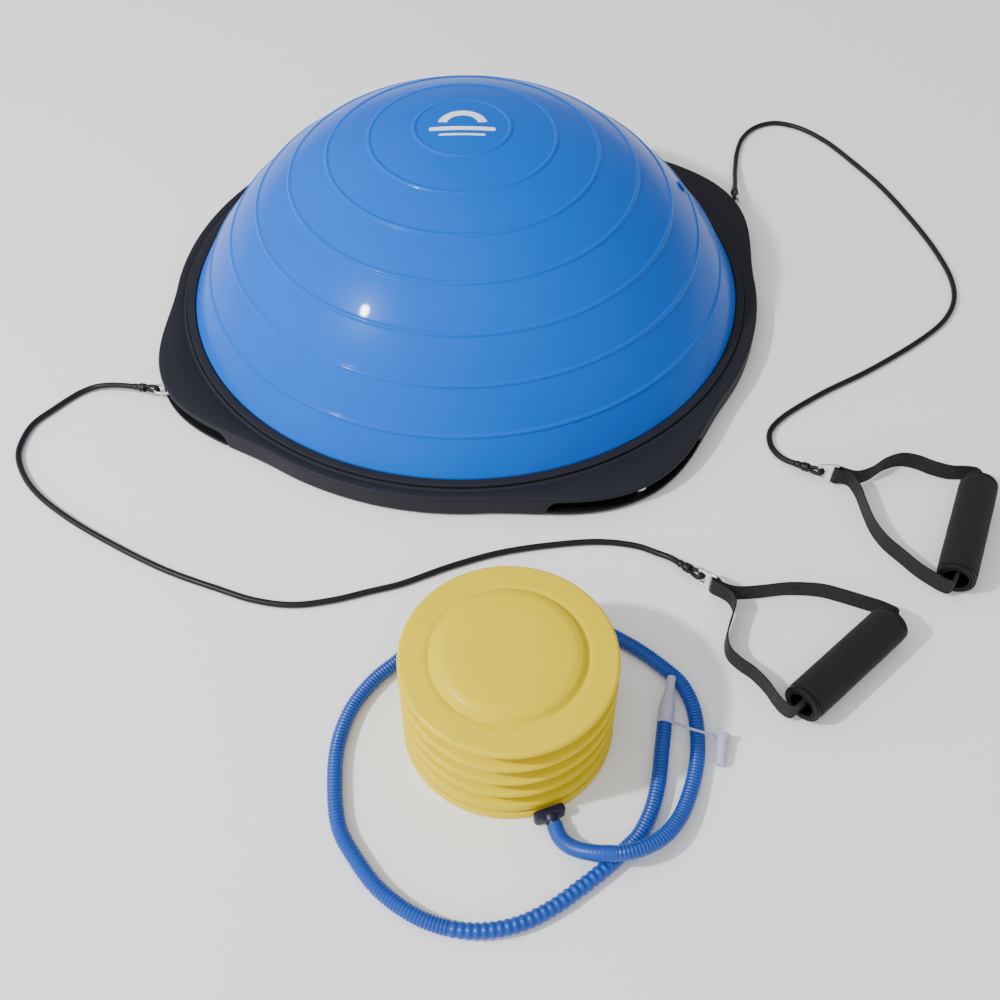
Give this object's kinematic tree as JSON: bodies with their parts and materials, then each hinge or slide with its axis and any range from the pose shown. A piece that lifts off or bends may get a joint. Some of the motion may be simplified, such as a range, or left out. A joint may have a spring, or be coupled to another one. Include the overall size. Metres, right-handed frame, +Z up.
{
  "type": "balance dome trainer",
  "caption": "Half-dome balance trainer on a round platform with swivel rings, elastic pull cords with foam handles and a bellows foot pump.",
  "frame": {"origin": "centre of the platform's underside, on the floor plane, below the dome's apex", "axes": "+Z up through the dome's apex, +X to the user's right, +Y away from the user who faces the pump"},
  "size_m": [1.007, 1.0764, 0.221],
  "materials": {
    "deck_plastic": "fine moulded grain, satin",
    "black_plastic": "fine moulded grain, matte",
    "blue_vinyl": "smooth glossy vinyl skin with fine raised rings",
    "foot_rubber": "matte moulded rubber",
    "plated_steel": "bright zinc plate over drawn or stamped steel",
    "cord_rubber": "matte black elastic cord",
    "webbing_nylon": "plain woven nylon webbing",
    "grip_foam": "closed-cell foam, fine pores",
    "pump_vinyl": "soft moulded yellow vinyl",
    "navy_plastic": "satin moulded plastic",
    "hose_vinyl": "corrugated vinyl hose",
    "grey_plastic": "satin moulded plastic"
  },
  "bodies": {
    "platform": {"platform_shell": "deck_plastic", "base_plate": "black_plastic", "retaining_ring": "deck_plastic", "dome": "blue_vinyl", "bladder_floor": "blue_vinyl", "valve_seat": "blue_vinyl", "screw_1": "plated_steel", "screw_2": "plated_steel", "screw_3": "plated_steel", "screw_4": "plated_steel", "screw_5": "plated_steel", "screw_6": "plated_steel", "screw_7": "plated_steel", "screw_8": "plated_steel", "foot_pad_right": "foot_rubber", "foot_pad_back": "foot_rubber", "foot_pad_left": "foot_rubber", "foot_pad_front": "foot_rubber", "foot_pad_centre": "foot_rubber", "ring_post_right": "plated_steel", "ring_post_back": "plated_steel", "ring_post_left": "plated_steel", "ring_post_front": "plated_steel", "cord_left": "cord_rubber", "cord_right": "cord_rubber", "front_link_eye": "cord_rubber", "front_link_ferrule": "cord_rubber", "right_link_eye": "cord_rubber", "right_link_ferrule": "cord_rubber"},
    "valve_plug_body": {"valve_plug": "blue_vinyl"},
    "ring_left": {"swivel_ring_left": "plated_steel", "left_ring_eye": "cord_rubber", "left_ring_ferrule": "cord_rubber"},
    "ring_right": {"swivel_ring_right": "plated_steel", "right_ring_eye": "cord_rubber", "right_ring_ferrule": "cord_rubber"},
    "ring_front": {"swivel_ring_front": "plated_steel"},
    "ring_back": {"swivel_ring_back": "plated_steel"},
    "pump": {"pump_base": "pump_vinyl", "pump_bellows": "pump_vinyl", "pump_spring": "plated_steel", "hose_connector": "navy_plastic", "hose": "hose_vinyl", "nozzle": "grey_plastic"},
    "pump_plate": {"pump_top": "pump_vinyl"},
    "pump_flap": {"inlet_flap": "foot_rubber"},
    "cap": {"tether": "grey_plastic", "nozzle_cap": "grey_plastic"},
    "link_right_body": {"link_right": "plated_steel"},
    "handle_right": {"webbing_right": "webbing_nylon"},
    "grip_right": {"grip_tube_right": "black_plastic", "grip_foam_right": "grip_foam", "grip_collar_right_near": "black_plastic", "grip_collar_right_far": "black_plastic"},
    "link_front_body": {"link_front": "plated_steel"},
    "handle_front": {"webbing_front": "webbing_nylon"},
    "grip_front": {"grip_tube_front": "black_plastic", "grip_foam_front": "grip_foam", "grip_collar_front_near": "black_plastic", "grip_collar_front_far": "black_plastic"}
  },
  "joints": [
    {"name": "ring_swivel_left", "type": "hinge", "parent": "platform", "child": "ring_left", "pos_m": [-0.29999, -0.16629, 0.017], "axis": [0, 0, 1], "range_deg": [-21, 40], "deforming": ["cord_left"]},
    {"name": "ring_swivel_right", "type": "hinge", "parent": "platform", "child": "ring_right", "pos_m": [0.30562, 0.15572, 0.017], "axis": [0, 0, 1], "range_deg": [-20, 25], "deforming": ["cord_right"]},
    {"name": "ring_swivel_front", "type": "hinge", "parent": "platform", "child": "ring_front", "pos_m": [0.1715, -0.29705, 0.017], "axis": [0, 0, 1], "continuous": true},
    {"name": "ring_swivel_back", "type": "hinge", "parent": "platform", "child": "ring_back", "pos_m": [-0.16103, 0.30285, 0.017], "axis": [0, 0, 1], "continuous": true},
    {"name": "link_swing_right", "type": "hinge", "parent": "platform", "child": "link_right_body", "pos_m": [0.349, -0.277, 0.014], "axis": [0, 0, 1], "range_deg": [-5, 12]},
    {"name": "handle_swing_right", "type": "hinge", "parent": "link_right_body", "child": "handle_right", "pos_m": [0.36501, -0.28099, 0.014], "axis": [0, 0, 1], "range_deg": [-5, 20]},
    {"name": "grip_spin_right", "type": "hinge", "parent": "handle_right", "child": "grip_right", "pos_m": [0.474, -0.354, 0.0182], "axis": [0.4067, 0.9135, 0], "continuous": true},
    {"name": "link_swing_front", "type": "hinge", "parent": "platform", "child": "link_front_body", "pos_m": [0.2189, -0.4022, 0.014], "axis": [0, 0, 1], "range_deg": [-6, 6]},
    {"name": "handle_swing_front", "type": "hinge", "parent": "link_front_body", "child": "handle_front", "pos_m": [0.23097, -0.41345, 0.014], "axis": [0, 0, 1], "range_deg": [-8, 6]},
    {"name": "grip_spin_front", "type": "hinge", "parent": "handle_front", "child": "grip_front", "pos_m": [0.3345, -0.4985, 0.0182], "axis": [0.7455, 0.6665, 0], "continuous": true},
    {"name": "valve_plug_pull", "type": "slide", "parent": "platform", "child": "valve_plug_body", "axis": [0.7394, 0.1572, 0.6546], "range_m": [0, 0.012]},
    {"name": "pump_lift", "type": "slide", "parent": "platform", "child": "pump", "axis": [0, 0, 1], "range_m": [0, 0.25]},
    {"name": "pump_press", "type": "slide", "parent": "pump", "child": "pump_plate", "axis": [0, 0, -1], "range_m": [0, 0.055], "stiffness_N_per_m": 900, "springref_m": -0.02, "deforming": ["pump_bellows", "pump_spring"]},
    {"name": "inlet_flap_lift", "type": "hinge", "parent": "pump", "child": "pump_flap", "pos_m": [0.009, -0.48438, 0.0063], "axis": [-0.866, -0.5, 0], "range_deg": [0, 35]},
    {"name": "cap_swing", "type": "hinge", "parent": "pump", "child": "cap", "pos_m": [0.1826, -0.5514, 0.0096], "axis": [0, 0, 1], "range_deg": [0, 20]}
  ]
}
